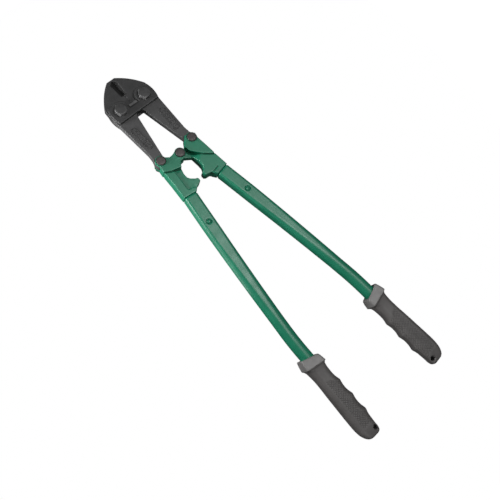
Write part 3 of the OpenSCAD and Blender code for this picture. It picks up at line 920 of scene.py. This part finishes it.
def build_jaw(side, word):
    forging = piece(word + "_jaw", jaw(word + "_jaw_mesh", side), forged)
    repainted(forging, black_steel, on_nose)
    # painted shade in the V between the jaws and on the label's walls, in dark steel
    repainted(forging, painted_shade_steel, on_dark_jaw)
    nut = nut_mesh(word + "_nut_mesh", BOLT, side, BOLT_FLATS, JAW_NUT_END, WASHER_END, BOLT_R)
    for suffix, mesh in (("_jaw_bolt", jaw_bolt_mesh(word + "_bolt_mesh", side)),
                         ("_jaw_washer", washer_mesh(word + "_washer_mesh", side)), ("_jaw_nut", nut)):
        piece(word + suffix, mesh, bolt_steel)


def build_pin(word, pin_node, centre):
    """A pin and the nut on its rear end."""
    nut = nut_mesh(word + "_pin_nut_mesh", centre, 1, PIN_FLATS, PIN_NUT_END, -EAR_HALF, PIN_R)
    piece(pin_node, pin_mesh(word + "_pin_mesh", centre), pin_steel)
    piece(pin_node.replace("_pin", "_nut"), nut, pin_steel)


def build_handle(side, word):
    piece(word + "_tube", tube_mesh(word + "_tube_mesh", side), paint)
    piece(word + "_rivet", rivet_mesh(word + "_rivet_mesh", side), paint)
    moulding = piece(word + "_grip", grip_mesh(word + "_grip_mesh", side), vinyl)
    # the guard's front slope gets painted light, a lighter vinyl
    repainted(moulding, painted_light_vinyl, on_guard)


def build_pieces():
    build_plates()
    build_heads()
    build_pin("centre", "centre_pin", CENTRE)
    for side, word in ((-1, "left"), (1, "right")):
        build_jaw(side, word)
        build_pin(word, word + "_tail_pin", (side * TAIL[0], TAIL[1]))
        build_handle(side, word)


# ---- stage ----
def build_floor():
    """A round floor that sweeps up into a wall far behind, like a studio backdrop."""
    reach, curve, top = 5, 2, 9
    sweep = np.radians(np.linspace(10, 90, 9))
    profile = [(0.5, 0), (reach, 0)]
    profile += [(reach + curve * math.sin(a), curve - curve * math.cos(a)) for a in sweep]
    profile += [(reach + curve, top)]
    angles = np.radians(np.arange(0, 360, 5))
    # just under the tool, so that the two never share a plane
    points = [(r * math.cos(a), r * math.sin(a), z - 0.0005) for r, z in profile for a in angles]
    points, faces = sleeve(np.array(points).reshape(len(profile), len(angles), 3))
    faces.append(tuple(range(len(angles))))
    mesh = bpy.data.meshes.new("floor")
    mesh.from_pydata([tuple(p) for p in points], [], faces)
    mesh.shade_smooth()
    floor = bpy.data.objects.new("floor", mesh)
    mesh.materials.append(pale_floor())
    bpy.context.scene.collection.objects.link(floor)
    floor.visible_diffuse = False
    floor.visible_glossy = False


def area_light(name, place, size, power):
    """A rectangular light that the camera doesn't see."""
    data = bpy.data.lights.new(name, "AREA")
    data.shape = "RECTANGLE"
    data.size, data.size_y = size
    data.energy = power
    light = bpy.data.objects.new(name, data)
    light.location = place
    light.visible_camera = False
    bpy.context.scene.collection.objects.link(light)
    return light


def softbox(name, place, target, size, power):
    """A square light aimed at a point."""
    light = area_light(name, place, (size, size), power)
    light.rotation_mode = "QUATERNION"
    light.rotation_quaternion = (Vector(target) - Vector(place)).to_track_quat("-Z", "Y")


def floor_panel():
    """A soft panel lying on the floor along the left handle, which its outer wall mirrors."""
    light = area_light("floor_panel", (-0.138, 0.115, 0.0005), (0.16, 0.32), 0.22)
    light.rotation_euler = (math.pi, 0, math.radians(-5.7))


def build_lights():
    floor_panel()
    softbox("key_left", (-0.52, 0.42, 0.14), (0, 0.12, 0.02), 0.2, 6)
    softbox("overhead", (0.30, -0.03, 1.2), (0, 0.05, 0), 0.5, 10)
    softbox("fill_near", (-0.35, -0.75, 0.35), (0, 0.1, 0), 0.4, 1.4)
    world = bpy.data.worlds.new("studio")
    world.use_nodes = True
    background = world.node_tree.nodes["Background"]
    background.inputs["Color"].default_value = (1, 1, 1, 1)
    background.inputs["Strength"].default_value = 0.06
    bpy.context.scene.world = world


def build_camera():
    """Looks down on the tool from its left rear, as in a product picture."""
    data = bpy.data.cameras.new("camera")
    data.lens = 41.03
    data.sensor_width = 36
    data.clip_start, data.clip_end = 0.01, 50
    camera = bpy.data.objects.new("camera", data)
    right, up = Vector((0.6944, -0.6851, 0.2203)), Vector((0.6346, 0.7273, 0.2614))
    back = right.cross(up).normalized()
    up = back.cross(right).normalized()
    turn = Matrix((right, up, back)).transposed().to_4x4()
    camera.matrix_world = Matrix.Translation((-0.2952, -0.0415, 0.7790)) @ turn
    bpy.context.scene.collection.objects.link(camera)
    bpy.context.scene.camera = camera
    bpy.context.scene.view_settings.view_transform = "Standard"


build_camera()
build_floor()
build_lights()
build_pieces()

bpy.context.view_layer.update()
